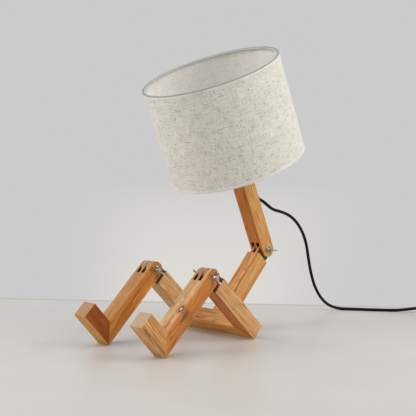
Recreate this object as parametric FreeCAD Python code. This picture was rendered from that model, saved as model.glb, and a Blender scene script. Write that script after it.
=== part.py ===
import FreeCAD, Part
import math
import os

from FreeCAD import Vector

# Driving dimensions, in millimetres and degrees

# Beams: one square section for every wooden member
beam_width = 25.0
edge_radius = 0.8
leg_spacing = 120.0
thigh_length = 130.0
shin_length = 135.0
foot_length = 64.0
torso_length = 131.0
neck_length = 115.5

# Pose: the thighs rise from the floor by the seat angle, the neck leans forward of upright
seat_angle = 44.4
neck_lean = 23.0

# Finger joints: five equal layers, the blades end in half circles on the bolt
layer_count = 5
finger_gap = 0.7
shoulder_clearance = 5.0

# Joint bolts with a winged head, washers and wing nuts; the angles are where the wings point
bolt_radius = 2.0
bolt_fit = 0.08
bolt_tail = 1.6
washer_radius = 5.0
washer_thickness = 0.8
nut_gap = 0.05
nut_hub_radius = 4.2
nut_top_radius = 3.2
nut_height = 5.0
wing_span = 22.0
wing_rise = 10.0
wing_tip_radius = 2.5
wing_thickness = 1.9
wing_root = 2.8
wing_root_margin = 0.5
near_knee_nut_angle = 107.0
far_knee_nut_angle = 135.0
elbow_nut_angle = 167.0
near_knee_head_angle = 122.0
far_knee_head_angle = 40.0
elbow_head_angle = 75.0

# Glued dowels, their holes a little deeper than they reach
dowel_radius = 3.0
dowel_length = 20.0
dowel_spacing = 11.0
dowel_fit = 0.05
dowel_end_room = 0.2

# Lamp holder on the neck's end
nipple_radius = 5.0
nipple_bore_radius = 3.6
nipple_depth = 8.0
nipple_above = 6.0
nipple_fit = 0.05
cap_height = 12.5
cap_base_radius = 11.0
cap_floor = 3.0
cap_flare = 1.0
cap_wall = 5.0
holder_radius = 20.0
holder_wall = 3.0
collar_radius = 23.0
collar_height = 2.5
holder_ring_radius = 28.0
holder_ring_height = 8.0
holder_ring_fit = 0.05
holder_lip = 2.0
contact_block_height = 9.0
holder_fit = 0.2

# Bulb with a screw cap
bulb_radius = 30.0
bulb_height = 108.0
bulb_cap_radius = 13.2
bulb_cap_height = 26.0
bulb_tip_radius = 4.4
bulb_tip_height = 5.2
bulb_neck_radius = 14.2
glass_wall = 1.0

# Drum shade, coaxial with the neck and above its end
shade_rise = 30.5
shade_radius = 106.0
shade_height = 153.0
shade_wall = 1.2
hem_height = 4.5
hem_thickness = 0.5
hem_fit = 0.1
wire_radius = 1.5
wire_fit = 0.1
arm_radius = 1.6
arm_count = 3
spider_rise = 12.0
spider_ring_width = 7.0
spider_ring_thickness = 2.0
spider_fit = 0.4

# Mains cord, strain relief and the bore through the neck, its mouth below the neck's end
cord_radius = 2.5
cord_hole_drop = 27.5
cord_bore_slope = 43.4
relief_radius = 4.2
relief_tip_radius = 3.2
relief_inside = 12.0
relief_straight = 6.0
relief_outside = 14.0
relief_fit = 0.05
flex_bend_radius = 12.0
first_run = 16.0

# Inline switch
switch_length = 62.0
switch_width = 24.0
switch_end_width = 11.0
switch_height = 16.0
switch_shoulder = 12.0
switch_edge = 2.0
switch_heading = -56.6
switch_run = 18.0
rocker_length = 13.0
rocker_width = 9.0
rocker_height = 5.0
rocker_pivot_depth = 1.8
rocker_gap = 0.5
rocker_edge = 0.5
rocker_pocket_depth = 6.4
rocker_pin_radius = 1.0
rocker_pin_length = 1.5

# Coil of the cord's spare length, in two layers
coil_pitch = 5.5
coil_inner_radius = 20.2
coil_lower_half_turns = 7
coil_upper_half_turns = 5
coil_lead_in = 30.0
coil_tail = 26.0

# Flat two-pin plug
plug_length = 35.0
plug_width = 26.0
plug_tail_width = 11.0
plug_shoulder = 14.0
plug_height = 16.0
plug_edge = 2.0
pin_radius = 2.0
pin_length = 19.0
pin_spacing = 19.0
pin_end_round = 1.0

# How far a cutting shape reaches past what it cuts
overcut = 1.0

# Sizes that follow

half_beam = beam_width / 2
layer = beam_width / layer_count
root_distance = half_beam + shoulder_clearance
hole_radius = bolt_radius + bolt_fit
tilt = math.radians(seat_angle)
lean = math.radians(neck_lean)
cord_width = 2 * cord_radius
shade_start = neck_length + shade_rise
cord_bore_position = neck_length - cord_hole_drop

# Directions in the lamp's plane: along the thighs, along the torso, along the neck
thigh_dir = Vector(-math.cos(tilt), 0, math.sin(tilt))
torso_dir = Vector(math.sin(tilt), 0, math.cos(tilt))
neck_dir = Vector(-math.sin(lean), 0, math.cos(lean))
neck_back = Vector(math.cos(lean), 0, math.sin(lean))
side = Vector(0, 1, 0)
up = Vector(0, 0, 1)

# The hip's lower edge rests on the floor, and the shins lean so that the heels rest there too
knee_reach = thigh_dir * thigh_length + torso_dir * half_beam
heel_diagonal = math.hypot(shin_length, half_beam)
shin_lean = math.acos(knee_reach.z / heel_diagonal) + math.atan2(half_beam, shin_length)
shin_dir = Vector(-math.sin(shin_lean), 0, -math.cos(shin_lean))
toe_dir = Vector(-math.cos(shin_lean), 0, math.sin(shin_lean))
heel_reach = knee_reach + shin_dir * shin_length - toe_dir * half_beam
elbow_reach = thigh_dir * half_beam + torso_dir * (beam_width + torso_length)

# The origin lies on the floor, under the middle of the lamp without its cord
shade_end = shade_start + shade_height
shade_reach = shade_radius * math.cos(lean)
left_x = min((heel_reach + toe_dir * foot_length).x,
             (elbow_reach + neck_dir * shade_end).x - shade_reach)
right_x = (elbow_reach + neck_dir * shade_start).x + shade_reach
hip = Vector(-(left_x + right_x) / 2, 0, 0)
knee = hip + knee_reach
heel = hip + heel_reach
elbow = hip + elbow_reach

near = -leg_spacing / 2
far = leg_spacing / 2
half_seat = leg_spacing / 2 + half_beam
outer_layers = [0, 2, 4]
inner_layers = [1, 3]
nodes = {}


# Basic shapes

def prism(points, extrusion):
    """A closed polygon, extruded."""
    return Part.Face(Part.makePolygon(points + [points[0]])).extrude(extrusion)


def rod(start, end, radius):
    """A cylinder from one point to another."""
    axis = end - start
    return Part.makeCylinder(radius, axis.Length, start, axis)


def sleeve(start, end, outer, inner):
    """A hollow cylinder from one point to another."""
    return rod(start, end, outer).cut(rod(start, end, inner))


def union(shapes):
    """One solid from solids that touch or overlap."""
    result = shapes[0]
    for shape in shapes[1:]:
        result = result.fuse(shape)
    return result.removeSplitter()


def face_outline(solid, y_middle):
    """The edges round a member's two outer side faces, without its bolt hole."""
    found = []
    for edge in solid.Edges:
        box = edge.BoundBox
        outermost = abs(abs(box.YMin - y_middle) - half_beam) < 1e-6
        hole = edge.Curve.TypeId == "Part::GeomCircle" and edge.Curve.Radius < half_beam / 2
        if box.YLength < 1e-6 and outermost and not hole:
            found.append(edge)
    return found


# Finger joints: three fingers on one member fill the slots of the two-finger member

def blade(pivot, direction, index, y_middle):
    """One finger: a strip from the member's body to a half circle about the bolt."""
    across = direction.cross(side) * half_beam
    root = pivot + direction * (root_distance + layer)
    outline = [
        Part.LineSegment(pivot + across, root + across),
        Part.LineSegment(root + across, root - across),
        Part.LineSegment(root - across, pivot - across),
        Part.Arc(pivot - across, pivot - direction * half_beam, pivot + across),
    ]
    low = y_middle - half_beam + index * layer
    high = low + layer
    if index > 0:
        low += finger_gap / 2
    if index < layer_count - 1:
        high -= finger_gap / 2
    face = Part.Face(Part.Wire([line.toShape() for line in outline]))
    face.translate(side * low)
    return face.extrude(side * (high - low))


def finger_member(pivot, direction, layers, far_end, y_middle):
    """A square member from its finger roots to its far end, with fingers, eased edges and a bolt hole."""
    across = direction.cross(side) * half_beam
    root = pivot + direction * root_distance
    start = side * (y_middle - half_beam)
    outline = [root + across, root - across] + far_end
    body = prism([point + start for point in outline], side * beam_width)
    solid = union([body] + [blade(pivot, direction, index, y_middle) for index in layers])
    solid = solid.makeFillet(edge_radius, face_outline(solid, y_middle))
    centre = pivot + side * y_middle
    reach = side * beam_width
    return solid.cut(rod(centre - reach, centre + reach, hole_radius))


# Seat frame: the thighs and the crossbar, mitred where they meet

def seat_point(along, y, height):
    """A point of the seat frame: along the thighs, across the seat, above its underside."""
    return hip + thigh_dir * along + side * y + torso_dir * height


def seat_wedge(y_sign, corners):
    """What a mitre takes off on one side, its corners given along the thighs and in from the outside."""
    mitre = [(0, 0), (beam_width, beam_width)]
    outline = [seat_point(along, y_sign * (half_seat - inward), -overcut) for along, inward in mitre + corners]
    return prism(outline, torso_dir * (beam_width + 2 * overcut))


def thigh(y_middle):
    """A thigh: two fingers at the knee, a mitre at the crossbar."""
    far_end = [hip, hip + torso_dir * beam_width]
    member = finger_member(knee, thigh_dir * -1, inner_layers, far_end, y_middle)
    return member.cut(seat_wedge(math.copysign(1, y_middle), [(-overcut, beam_width), (-overcut, 0)]))


def crossbar():
    """The crossbar: eased along its four long edges, mitred at both ends."""
    corners = [(0, 0), (beam_width, 0), (beam_width, beam_width), (0, beam_width)]
    outline = [seat_point(along, -half_seat, height) for along, height in corners]
    bar = prism(outline, side * (2 * half_seat))
    long_edges = [edge for edge in bar.Edges if edge.BoundBox.YLength > beam_width]
    bar = bar.makeFillet(edge_radius, long_edges)
    past = beam_width + overcut
    for y_sign in (-1, 1):
        bar = bar.cut(seat_wedge(y_sign, [(past, beam_width), (past, -overcut), (0, -overcut)]))
    return bar


nodes["thigh_near"] = thigh(near)
nodes["thigh_far"] = thigh(far)
nodes["hip_crossbar"] = crossbar()

# Torso: it stands square on the middle of the crossbar
torso_foot = hip + torso_dir * beam_width
nodes["torso_beam"] = finger_member(elbow, torso_dir * -1, inner_layers,
                                    [torso_foot + thigh_dir * beam_width, torso_foot], 0)

# Shins and feet, mitred at the heel
heel_inside = heel + toe_dir * beam_width - shin_dir * beam_width


def heel_wedge(y_middle, beyond):
    """What the heel's mitre takes off, on the side of the given point."""
    start = side * (y_middle - half_beam - overcut)
    stretch = (heel - heel_inside).normalize() * overcut
    outline = [heel + stretch, heel_inside - stretch, beyond - stretch, beyond + stretch]
    return prism([point + start for point in outline], side * (beam_width + 2 * overcut))


def shin(y_middle):
    """A shin: three fingers at the knee, a mitre at the heel."""
    far_end = [heel + toe_dir * beam_width, heel]
    member = finger_member(knee, shin_dir, outer_layers, far_end, y_middle)
    return member.cut(heel_wedge(y_middle, heel + toe_dir * beam_width))


def foot(y_middle):
    """A foot: a short bar, eased all round its toe end."""
    toe = heel + toe_dir * foot_length
    outline = [heel, toe, toe - shin_dir * beam_width, heel - shin_dir * beam_width]
    start = side * (y_middle - half_beam)
    bar = prism([point + start for point in outline], side * beam_width)
    middle = heel - shin_dir * half_beam + side * y_middle
    rounded = [edge for edge in bar.Edges
               if (edge.CenterOfMass - middle).dot(toe_dir) > edge_radius]
    bar = bar.makeFillet(edge_radius, rounded)
    return bar.cut(heel_wedge(y_middle, heel - shin_dir * beam_width))


for leg, y_middle in (("near", near), ("far", far)):
    nodes["shin_" + leg] = shin(y_middle)
    nodes["foot_" + leg] = foot(y_middle)

# Glued dowels: two across each mitre, two under the torso


def drill(centre, direction, members):
    """A dowel centred on a joint, its hole drilled in the members there."""
    half = direction * (dowel_length / 2)
    half_hole = half + direction * dowel_end_room
    hole = rod(centre - half_hole, centre + half_hole, dowel_radius + dowel_fit)
    for member in members:
        nodes[member] = nodes[member].cut(hole)
    return rod(centre - half, centre + half, dowel_radius)


hip_dowels = []
torso_dowels = []
for leg, y_middle in (("near", near), ("far", far)):
    heel_dowels = []
    across_mitre = (thigh_dir + side * math.copysign(1, y_middle)).normalize()
    across_heel = (toe_dir + shin_dir).normalize()
    for step in (-dowel_spacing / 2, dowel_spacing / 2):
        corner = seat_point(half_beam, y_middle, half_beam + step)
        hip_dowels.append(drill(corner, across_mitre, ["hip_crossbar", "thigh_" + leg]))
        centre = (heel + heel_inside) * 0.5 + side * (y_middle + step)
        heel_dowels.append(drill(centre, across_heel, ["shin_" + leg, "foot_" + leg]))
    nodes["heel_dowels_" + leg] = Part.makeCompound(heel_dowels)
for step in (-dowel_spacing / 2, dowel_spacing / 2):
    centre = seat_point(half_beam, step, beam_width)
    torso_dowels.append(drill(centre, torso_dir, ["hip_crossbar", "torso_beam"]))
nodes["hip_dowels"] = Part.makeCompound(hip_dowels)
nodes["torso_dowels"] = Part.makeCompound(torso_dowels)


# Joint hardware: a winged bolt head on the far side, a wing nut on the near side, washers under both

def winged_hub(seat, away, angle):
    """A tapered hub and two flat wings that rise away from the joint."""
    turn = math.radians(angle)
    shapes = [Part.makeCone(nut_hub_radius, nut_top_radius, nut_height, seat, away)]
    for sign in (1, -1):
        radial = Vector(math.cos(turn), 0, math.sin(turn)) * sign
        normal = radial.cross(away)

        def spot(out, height):
            return seat + radial * out + away * height - normal * (wing_thickness / 2)

        tip_out = wing_span / 2 - wing_tip_radius
        tip_height = wing_rise - wing_tip_radius
        diagonal = wing_tip_radius / math.sqrt(2)
        low_root = spot(wing_root, wing_root_margin)
        low_tip = spot(tip_out + diagonal, tip_height - diagonal)
        tip = spot(tip_out + diagonal, tip_height + diagonal)
        high_tip = spot(tip_out - diagonal, tip_height + diagonal)
        high_root = spot(wing_root, nut_height - wing_root_margin)
        outline = [
            Part.LineSegment(low_root, low_tip),
            Part.Arc(low_tip, tip, high_tip),
            Part.LineSegment(high_tip, high_root),
            Part.LineSegment(high_root, low_root),
        ]
        face = Part.Face(Part.Wire([line.toShape() for line in outline]))
        shapes.append(face.extrude(normal * wing_thickness))
    return union(shapes)


def joint_bolt(pivot, angle):
    """A bolt with a winged head, through all the fingers."""
    far_seat = pivot + side * (half_beam + washer_thickness)
    end = pivot - side * (half_beam + washer_thickness + nut_gap + nut_height + bolt_tail)
    return union([winged_hub(far_seat, side, angle), rod(end, far_seat, bolt_radius)])


def joint_washers(pivot):
    """A washer on each outer face of the joint."""
    pair = []
    for direction in (side, side * -1):
        seat = pivot + direction * half_beam
        pair.append(sleeve(seat, seat + direction * washer_thickness, washer_radius, hole_radius))
    return Part.makeCompound(pair)


def wing_nut(pivot, angle):
    """A wing nut on the bolt's end."""
    seat = pivot - side * (half_beam + washer_thickness + nut_gap)
    hole = rod(seat + side * overcut, seat - side * (wing_rise + overcut), hole_radius)
    return winged_hub(seat, side * -1, angle).cut(hole)


for joint, pivot, nut_angle, head_angle in (
        ("knee_%s_near", knee + side * near, near_knee_nut_angle, near_knee_head_angle),
        ("knee_%s_far", knee + side * far, far_knee_nut_angle, far_knee_head_angle),
        ("elbow_%s", elbow, elbow_nut_angle, elbow_head_angle)):
    nodes[joint % "bolt"] = joint_bolt(pivot, head_angle)
    nodes[joint % "washers"] = joint_washers(pivot)
    nodes[joint % "wing_nut"] = wing_nut(pivot, nut_angle)


# Neck: it holds the lamp holder, with a bore for the cord that comes out of its back

def neck_point(along, back=0):
    """A point of the neck's plane: along the neck from the elbow, and towards its back."""
    return elbow + neck_dir * along + neck_back * back


def neck_turned(profile):
    """A solid turned about the neck's axis, from a list of (place along the neck, radius)."""
    outline = [neck_point(along, radius) for along, radius in profile]
    face = Part.Face(Part.makePolygon(outline + [outline[0]]))
    return face.revolve(elbow, neck_dir, 360)


slope = math.radians(cord_bore_slope)
relief_dir = neck_back * math.sin(slope) - neck_dir * math.cos(slope)
cord_hole = neck_point(cord_bore_position, half_beam)
bore_corner = neck_point(cord_bore_position + half_beam / math.tan(slope))
neck_top = neck_point(neck_length)
nipple_low = neck_point(neck_length - nipple_depth)

neck_end = [neck_point(neck_length, half_beam), neck_point(neck_length, -half_beam)]
neck = finger_member(elbow, neck_dir, outer_layers, neck_end, 0)
neck = neck.cut(rod(bore_corner, cord_hole + relief_dir * beam_width, relief_radius + relief_fit))
neck = neck.cut(Part.makeSphere(relief_radius + relief_fit, bore_corner))
neck = neck.cut(rod(bore_corner, neck_top, nipple_bore_radius))
neck = neck.cut(rod(nipple_low, neck_top, nipple_radius + nipple_fit))
nodes["neck_beam"] = neck

# Strain relief: a moulded sleeve in the slanting bore, tapered outside
relief_inner_end = cord_hole - relief_dir * relief_inside
relief_step = cord_hole + relief_dir * relief_straight
relief_taper = relief_outside - relief_straight
relief_tip = cord_hole + relief_dir * relief_outside
nodes["strain_relief"] = union([
    rod(relief_inner_end, relief_step, relief_radius),
    Part.makeCone(relief_radius, relief_tip_radius, relief_taper, relief_step, relief_dir),
])

# Lamp holder: threaded tube, cap, contact block, body with a collar, clamping ring
holder_start = neck_length + cap_height
spider_level = shade_start + spider_rise
holder_end = spider_level + spider_ring_thickness + holder_ring_height + holder_lip
inner_radius = holder_radius - holder_wall
nodes["holder_nipple"] = sleeve(nipple_low, neck_point(neck_length + nipple_above),
                                nipple_radius, nipple_bore_radius)
nodes["holder_cap"] = neck_turned([
    (neck_length, nipple_radius + nipple_fit),
    (neck_length, cap_base_radius),
    (neck_length + cap_floor, cap_base_radius + cap_flare),
    (holder_start - cap_floor, holder_radius),
    (holder_start, holder_radius),
    (holder_start, holder_radius - cap_wall),
    (holder_start - cap_floor, holder_radius - cap_wall),
    (neck_length + cap_floor, nipple_radius + cap_flare),
    (neck_length + cap_floor, nipple_radius + nipple_fit),
])
block_top = holder_start + contact_block_height
nodes["holder_contacts"] = rod(neck_point(holder_start), neck_point(block_top), inner_radius - holder_fit)
nodes["holder_body"] = neck_turned([
    (holder_start, inner_radius),
    (holder_start, holder_radius),
    (spider_level - collar_height, holder_radius),
    (spider_level - collar_height, collar_radius),
    (spider_level, collar_radius),
    (spider_level, holder_radius),
    (holder_end, holder_radius),
    (holder_end, inner_radius),
])
ring_low = spider_level + spider_ring_thickness
nodes["holder_ring"] = sleeve(neck_point(ring_low), neck_point(ring_low + holder_ring_height),
                              holder_ring_radius, holder_radius + holder_ring_fit)

# Bulb: a screw cap and a globe that narrows to it
bulb_low = block_top + holder_fit
glass_low = bulb_low + bulb_cap_height
globe_middle = bulb_low + bulb_height - bulb_radius


def envelope(globe_radius, throat_radius):
    """A globe with a cone that runs off it to the cap."""
    drop = globe_middle - glass_low
    slant = math.hypot(drop, throat_radius)
    bearing = math.asin(globe_radius / slant) - math.atan2(throat_radius, drop)
    rise = math.sqrt(slant ** 2 - globe_radius ** 2)
    touch_along = rise * math.cos(bearing)
    touch_radius = throat_radius + rise * math.sin(bearing)
    cone = Part.makeCone(throat_radius, touch_radius, touch_along, neck_point(glass_low), neck_dir)
    return union([cone, Part.makeSphere(globe_radius, neck_point(globe_middle))])


nodes["bulb_glass"] = envelope(bulb_radius, bulb_neck_radius).cut(
    envelope(bulb_radius - glass_wall, bulb_neck_radius - glass_wall))
nodes["bulb_cap"] = neck_turned([
    (bulb_low, 0),
    (bulb_low, bulb_tip_radius),
    (bulb_low + bulb_tip_height, bulb_cap_radius),
    (glass_low, bulb_cap_radius),
    (glass_low, 0),
])

# Shade: a drum with folded hems, a wire ring in each edge, and a spider on the holder
drum_radius = shade_radius - hem_thickness - hem_fit
drum_low = shade_start + hem_thickness + hem_fit
drum_high = shade_end - hem_thickness - hem_fit
nodes["shade_drum"] = sleeve(neck_point(drum_low), neck_point(drum_high),
                             drum_radius, drum_radius - shade_wall)
lining_radius = drum_radius - shade_wall - hem_fit
ring_radius = lining_radius - hem_thickness - wire_fit - wire_radius


def hem(edge, inward):
    """A strip folded over the drum's edge, its legs reaching inward along the drum."""
    outer = sleeve(neck_point(edge), neck_point(edge + inward * hem_height),
                   shade_radius, lining_radius - hem_thickness)
    inside = edge + inward * hem_thickness
    pocket = sleeve(neck_point(inside), neck_point(inside + inward * hem_height),
                    shade_radius - hem_thickness, lining_radius)
    return outer.cut(pocket)


def wire_ring(place, radius):
    """A ring of round wire inside the drum."""
    return Part.makeTorus(ring_radius, radius, neck_point(place), neck_dir)


nodes["shade_top_hem"] = hem(shade_end, -1)
nodes["shade_bottom_hem"] = hem(shade_start, 1)
wire_level = shade_start + hem_thickness + wire_radius
nodes["shade_top_ring"] = wire_ring(shade_end - hem_thickness - wire_radius, wire_radius)
nodes["shade_bottom_ring"] = wire_ring(wire_level, wire_radius)


def spider():
    """A flat ring on the holder's collar and arms that slope down to the wire ring."""
    fitter_inner = holder_radius + spider_fit
    fitter_outer = fitter_inner + spider_ring_width
    middle = spider_level + spider_ring_thickness / 2
    pieces = [sleeve(neck_point(spider_level), neck_point(ring_low), fitter_outer, fitter_inner)]
    for index in range(arm_count):
        turn = 2 * math.pi * (index + 0.5) / arm_count
        outward = neck_back * math.cos(turn) + side * math.sin(turn)
        start = neck_point(middle) + outward * (fitter_outer - arm_radius / 2)
        end = neck_point(wire_level) + outward * ring_radius
        pieces.append(rod(start, end, arm_radius))
    frame = union(pieces).cut(wire_ring(wire_level, wire_radius + wire_fit))
    clamp = sleeve(neck_point(ring_low), neck_point(ring_low + holder_ring_height),
                   holder_ring_radius + spider_fit, fitter_inner)
    inside = sleeve(neck_point(spider_level - collar_height), neck_point(spider_level),
                    collar_radius + spider_fit, fitter_inner)
    frame = frame.cut(clamp).cut(inside)
    return max(frame.Solids, key=lambda solid: solid.Volume)


nodes["shade_spider"] = spider()


# Cord: straight runs joined by arcs, each taking nearly half of its shorter run
arc_share = 0.45


def rounded_path(points):
    """Runs and arcs along a route, and the smallest arc's radius."""
    edges = []
    radii = []
    start = points[0]
    for before, corner, after in zip(points, points[1:], points[2:]):
        arriving = (corner - before).normalize()
        leaving = (after - corner).normalize()
        half_turn = arriving.getAngle(leaving) / 2
        setback = arc_share * min((corner - before).Length, (after - corner).Length)
        radii.append(setback / math.tan(half_turn))
        arc_start = corner - arriving * setback
        arc_end = corner + leaving * setback
        inward = (leaving - arriving).normalize()
        sagitta = radii[-1] * (1 / math.cos(half_turn) - 1)
        edges.append(Part.LineSegment(start, arc_start).toShape())
        edges.append(Part.Arc(arc_start, corner + inward * sagitta, arc_end).toShape())
        start = arc_end
    edges.append(Part.LineSegment(start, points[-1]).toShape())
    return edges, radii


def swept(edges, radius):
    """A round section swept along a smooth path, and the path's length."""
    path = Part.Wire(edges)
    first = edges[0]
    start = first.valueAt(first.FirstParameter)
    heading = first.tangentAt(first.FirstParameter)
    section = Part.Wire(Part.makeCircle(radius, start, heading))
    solid = path.makePipeShell([section], True, False)
    ratio = solid.Volume / (math.pi * radius ** 2 * path.Length)
    return solid, path.Length, ratio


# The stretch inside the neck runs up the slanting bore, bends and ends at the contact block
flex_setback = flex_bend_radius * math.tan(slope / 2)
bend_start = bore_corner + relief_dir * flex_setback
bend_end = bore_corner + neck_dir * flex_setback
bend_inward = (neck_dir + relief_dir).normalize()
bend_middle = bore_corner + bend_inward * flex_bend_radius * (1 / math.cos(slope / 2) - 1)
flex_edges = [
    Part.LineSegment(relief_inner_end, bend_start).toShape(),
    Part.Arc(bend_start, bend_middle, bend_end).toShape(),
    Part.LineSegment(bend_end, neck_point(holder_start)).toShape(),
]
nodes["flex_in_neck"], flex_length, flex_ratio = swept(flex_edges, cord_radius)

# The free stretch sags from the neck, drops to the floor and runs along it to the switch
cord_hang = [
    Vector(166, 3, 181),
    Vector(193, 7, 176),
    Vector(222, 10.5, 167),
    Vector(248, 13.5, 149),
    Vector(268, 16, 122),
    Vector(275.5, 17, 93),
    Vector(283, 17.5, 66),
    Vector(292, 15, 38),
    Vector(304, 6, 14),
    Vector(318, -9, cord_radius),
    Vector(338, -38, cord_radius),
    Vector(356, -68, cord_radius),
    Vector(377, -98, cord_radius),
    Vector(395, -126, switch_height / 2),
]
heading = math.radians(switch_heading)
ahead = Vector(math.cos(heading), math.sin(heading), 0)
to_right = Vector(math.sin(heading), -math.cos(heading), 0)
switch_start = cord_hang[-1] + ahead * switch_run
cord_route = [relief_tip, relief_tip + relief_dir * first_run] + cord_hang + [switch_start]
cord_edges, cord_radii = rounded_path(cord_route)
nodes["cord_lead"], lead_length, lead_ratio = swept(cord_edges, cord_radius)


# Pieces that lie on the floor along the cord

def lying_block(outline, start, direction, height, edge):
    """A flat moulded block: half its outline mirrored about its axis, extruded and eased."""
    across = up.cross(direction)
    half = [start + direction * along + across * width for along, width in outline]
    other = [start + direction * along - across * width for along, width in reversed(outline)]
    block = prism([point - up * point.z for point in half + other], up * height)
    return block.makeFillet(edge, block.Edges)


def box_along(start, direction, length, width, low, high):
    """A box from a point along a direction, between two heights."""
    across = up.cross(direction) * (width / 2)
    base = start - up * (start.z - low)
    end = base + direction * length
    return prism([base + across, end + across, end - across, base - across], up * (high - low))


switch_outline = [
    (0, switch_end_width / 2),
    (switch_shoulder, switch_width / 2),
    (switch_length - switch_shoulder, switch_width / 2),
    (switch_length, switch_end_width / 2),
]
switch_end = switch_start + ahead * switch_length
seam = switch_height / 2
housing = lying_block(switch_outline, switch_start, ahead, switch_height, switch_edge)
lower_half = box_along(switch_start - ahead * overcut, ahead, switch_length + 2 * overcut,
                       switch_width + 2 * overcut, -overcut, seam)
nodes["switch_lower"] = housing.common(lower_half)

# The rocker turns on two pins in the upper half's pocket
switch_middle = switch_start + ahead * (switch_length / 2)
rocker_pivot = switch_middle + up * (switch_height - rocker_pivot_depth - switch_middle.z)
pocket_length = rocker_length + 2 * rocker_gap
pocket_width = rocker_width + 2 * rocker_gap
pocket_start = switch_middle - ahead * (pocket_length / 2)
pocket = box_along(pocket_start, ahead, pocket_length, pocket_width,
                   switch_height - rocker_pocket_depth, switch_height + overcut)
across_switch = up.cross(ahead)
pin_reach = across_switch * (rocker_width / 2 + rocker_pin_length)
pin_hole_reach = across_switch * (rocker_width / 2 + rocker_pin_length + rocker_gap)
pin_hole = rod(rocker_pivot - pin_hole_reach, rocker_pivot + pin_hole_reach, rocker_pin_radius + bolt_fit)
nodes["switch_upper"] = housing.cut(lower_half).cut(pocket).cut(pin_hole)
rocker_low = rocker_pivot.z - rocker_height / 2
rocker_block = box_along(switch_middle - ahead * (rocker_length / 2), ahead, rocker_length, rocker_width,
                         rocker_low, rocker_low + rocker_height)
rocker_ends = [edge for edge in rocker_block.Edges
               if edge.BoundBox.ZLength < 1e-6
               and abs((edge.CenterOfMass - rocker_pivot).dot(ahead)) > rocker_length / 4]
rocker_block = rocker_block.makeFillet(rocker_edge, rocker_ends)
nodes["switch_rocker"] = union([rocker_block, rod(rocker_pivot - pin_reach, rocker_pivot + pin_reach,
                                                  rocker_pin_radius)])


# Coil: half turns spiral in on the floor, climb a layer at the middle and spiral out on top

def tangent_arc(start, heading_there, end):
    """The arc that leaves the start along a heading and reaches the end."""
    chord = end - start
    along = chord.normalize()
    span = (end - start).Length
    angle = heading_there.getAngle(along)
    if angle < 1e-6:
        return Part.LineSegment(start, end).toShape()
    bulge = (heading_there - along * heading_there.dot(along)).normalize()
    middle = (start + end) * 0.5 + bulge * (span / 2 * math.tan(angle / 2))
    return Part.Arc(start, middle, end).toShape()


def biarc(start, leaving, end, arriving):
    """Two arcs of about a quarter turn, smooth where they meet and at both ends."""
    chord = end - start
    headings = leaving + arriving
    square = headings.dot(headings) - 4
    middle_term = chord.dot(headings)
    if abs(square) < 1e-9:
        reach = chord.dot(chord) / (2 * middle_term)
    else:
        root = math.sqrt(middle_term ** 2 - square * chord.dot(chord))
        reach = (middle_term - root) / square
    meeting = (start + leaving * reach + end - arriving * reach) * 0.5
    heading_there = (end - arriving * reach - start - leaving * reach).normalize()
    return [tangent_arc(start, leaving, meeting), tangent_arc(meeting, heading_there, end)]


coil_low = cord_radius
coil_high = coil_low + coil_pitch
descent_start = switch_end + ahead * cord_width
station = switch_end + ahead * coil_lead_in
station = station - up * (station.z - coil_low)
coil_edges = [Part.LineSegment(switch_end, descent_start).toShape()]
coil_edges += biarc(descent_start, ahead, station, ahead)
heading_now = ahead
sideways = to_right
half_turns = coil_lower_half_turns + 1 + coil_upper_half_turns
for index in range(half_turns):
    steps_out = abs(index - coil_lower_half_turns)
    radius = coil_inner_radius + steps_out * coil_pitch / 2
    level = coil_low if index < coil_lower_half_turns else coil_high
    following = station + sideways * (2 * radius)
    following = following + up * (level - following.z)
    coil_edges += biarc(station, heading_now, following, heading_now * -1)
    station = following
    heading_now = heading_now * -1
    sideways = sideways * -1
plug_start = station + heading_now * coil_tail
coil_edges.append(Part.LineSegment(station, plug_start).toShape())
nodes["cord_coil"], coil_length, coil_ratio = swept(coil_edges, cord_radius)


def least_self_gap(edges, radius):
    """The least gap between parts of a tube that lie more than a turn's quarter apart along it."""
    step = radius / 2
    line = Part.Wire(edges)
    points = line.discretize(Distance=step)
    apart = int(math.pi * coil_inner_radius / 2 / step)
    least = float("inf")
    for index, point in enumerate(points):
        for other in points[index + apart:]:
            least = min(least, (point - other).Length)
    return least - 2 * radius


# Plug: a flat body with a narrow tail, and two round pins
plug_outline = [
    (0, plug_tail_width / 2),
    (plug_shoulder, plug_width / 2),
    (plug_length, plug_width / 2),
]
nodes["plug_body"] = lying_block(plug_outline, plug_start, heading_now, plug_height, plug_edge)
plug_face = plug_start + heading_now * plug_length + up * (plug_height / 2 - plug_start.z)
pins = []
for offset in (-pin_spacing / 2, pin_spacing / 2):
    pin_start = plug_face + up.cross(heading_now) * offset
    pin = rod(pin_start, pin_start + heading_now * pin_length, pin_radius)
    tip_edges = [edge for edge in pin.Edges
                 if (edge.CenterOfMass - pin_start).dot(heading_now) > pin_length - 1e-3]
    pins.append(pin.makeFillet(pin_end_round, tip_edges))
nodes["plug_pins"] = Part.makeCompound(pins)

os.makedirs("parts", exist_ok=True)
for name, shape in nodes.items():
    shape.exportStep("parts/%s.step" % name)
    print("%-20s valid %s, solids %d, volume %.0f" % (name, shape.isValid(), len(shape.Solids), shape.Volume))
print("cord arc radii:", ", ".join("%.0f" % radius for radius in cord_radii))
print("free lead %.1f mm, coil with its ends %.1f mm" % (lead_length, coil_length))
print("cord length %.1f mm" % (relief_outside + lead_length + switch_length + coil_length))
print("sweep volume over section times length: lead %.4f, coil %.4f, flex %.4f"
      % (lead_ratio, coil_ratio, flex_ratio))
print("coil's least gap to itself %.2f mm" % least_self_gap(coil_edges, cord_radius))
print("hip %s, knee %s, elbow %s" % (hip, knee, elbow))
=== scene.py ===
import math

import bpy
from mathutils import Matrix, Vector


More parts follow.
